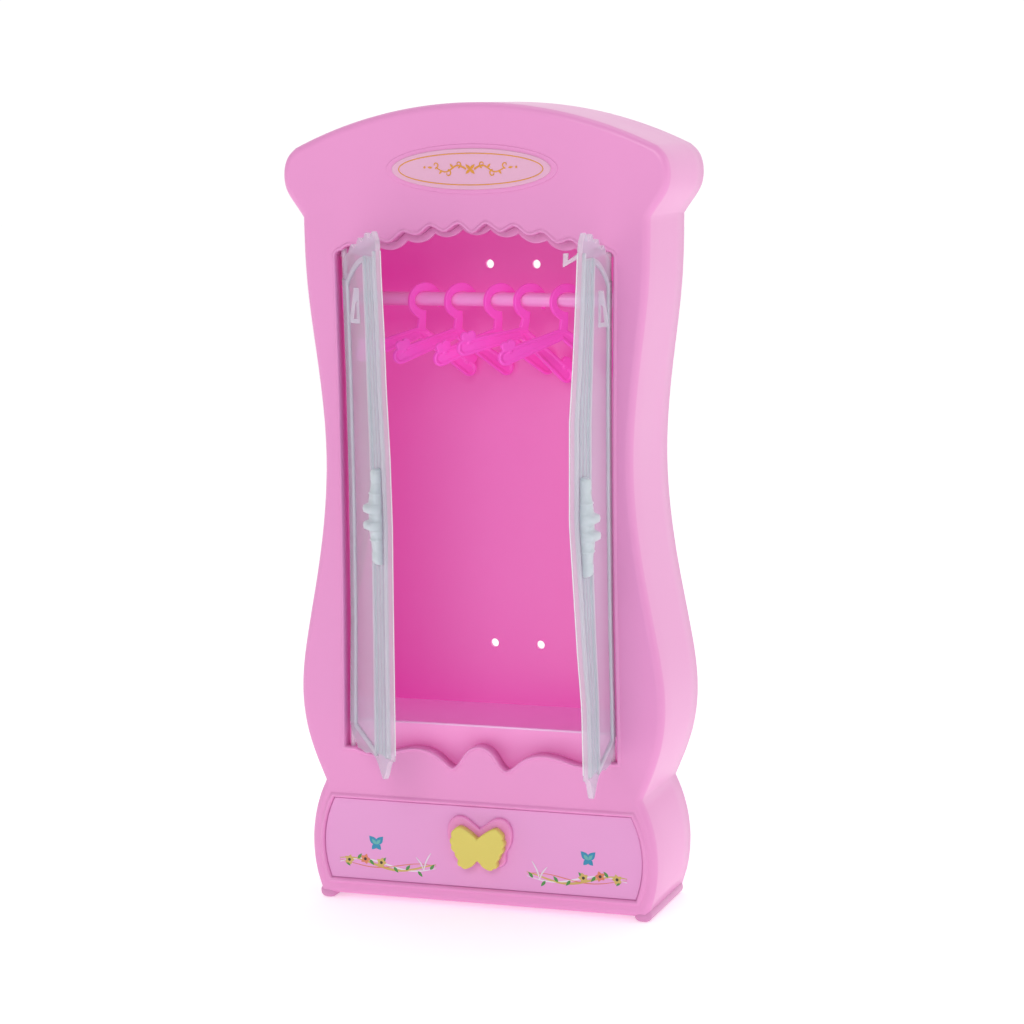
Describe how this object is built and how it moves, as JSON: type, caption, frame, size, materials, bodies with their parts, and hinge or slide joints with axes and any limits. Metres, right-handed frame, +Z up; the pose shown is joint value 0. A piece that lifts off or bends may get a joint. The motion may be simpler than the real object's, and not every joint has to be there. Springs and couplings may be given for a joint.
{
  "type": "miniature wardrobe",
  "caption": "Doll's house wardrobe with an arched crest, curved sides, frosted swinging doors, a hanging rail with clothes hangers and a pull-out drawer.",
  "frame": {"origin": "on the floor, under the middle of the cabinet's front face; with the doors standing open as modelled this is the bottom centre of the bounding box", "axes": "+X to the right as seen from the front, +Y to the back, +Z up"},
  "size_m": [0.1488, 0.0956, 0.3003],
  "materials": {
    "cabinet_plastic": "glossy mid-pink moulded plastic",
    "inner_plastic": "satin deeper pink moulded plastic",
    "drawer_plastic": "satin mid-pink moulded plastic",
    "rail_plastic": "satin light pink rod",
    "plaque_plastic": "lilac film with a thin gold oval line and a plain ornament",
    "frosted_plastic": "frosted translucent bluish-white plastic",
    "hanger_plastic": "glossy magenta plastic",
    "knob_plastic": "glossy pale yellow plastic",
    "sticker_film": "thin film printed with ribbons, leaves, flowers and butterflies",
    "screw_steel": "plain steel"
  },
  "bodies": {
    "cabinet": {"cabinet_shell": "cabinet_plastic", "back_panel": "inner_plastic", "closet_floor": "inner_plastic", "left_foot": "cabinet_plastic", "right_foot": "cabinet_plastic", "left_drawer_runner": "cabinet_plastic", "right_drawer_runner": "cabinet_plastic", "left_rail_socket": "cabinet_plastic", "right_rail_socket": "cabinet_plastic", "hanging_rail": "rail_plastic", "crest_plaque": "plaque_plastic"},
    "left_door": {"left_door_leaf": "frosted_plastic", "left_door_handle": "frosted_plastic", "left_door_hook": "frosted_plastic"},
    "right_door": {"right_door_leaf": "frosted_plastic", "right_door_handle": "frosted_plastic", "right_door_hook": "frosted_plastic", "right_door_catch": "frosted_plastic"},
    "drawer": {"drawer_front": "drawer_plastic", "drawer_tray": "drawer_plastic", "knob_pad": "drawer_plastic", "butterfly_knob": "knob_plastic", "knob_screw": "screw_steel", "left_sticker": "sticker_film", "right_sticker": "sticker_film"},
    "hanger_1": {"hanger_1": "hanger_plastic"},
    "hanger_2": {"hanger_2": "hanger_plastic"},
    "hanger_3": {"hanger_3": "hanger_plastic"},
    "hanger_4": {"hanger_4": "hanger_plastic"},
    "hanger_5": {"hanger_5": "hanger_plastic"}
  },
  "joints": [
    {"name": "left_door_hinge", "type": "hinge", "parent": "cabinet", "child": "left_door", "pos_m": [-0.0513, 0.0024, 0.15], "axis": [0, 0, -1], "range_deg": [-51.5, 53.5]},
    {"name": "right_door_hinge", "type": "hinge", "parent": "cabinet", "child": "right_door", "pos_m": [0.0513, 0.0024, 0.15], "axis": [0, 0, 1], "range_deg": [-96, 9]},
    {"name": "drawer_slide", "type": "slide", "parent": "cabinet", "child": "drawer", "axis": [0, -1, 0], "range_m": [0, 0.028]},
    {"name": "hanger_1_slide", "type": "slide", "parent": "cabinet", "child": "hanger_1", "axis": [1, 0, 0], "range_m": [-0.0015, 0.004]},
    {"name": "hanger_2_slide", "type": "slide", "parent": "cabinet", "child": "hanger_2", "axis": [1, 0, 0], "range_m": [-0.004, 0.004]},
    {"name": "hanger_3_slide", "type": "slide", "parent": "cabinet", "child": "hanger_3", "axis": [1, 0, 0], "range_m": [-0.004, 0.004]},
    {"name": "hanger_4_slide", "type": "slide", "parent": "cabinet", "child": "hanger_4", "axis": [1, 0, 0], "range_m": [-0.004, 0.004]},
    {"name": "hanger_5_slide", "type": "slide", "parent": "cabinet", "child": "hanger_5", "axis": [1, 0, 0], "range_m": [-0.004, 0.004]}
  ]
}
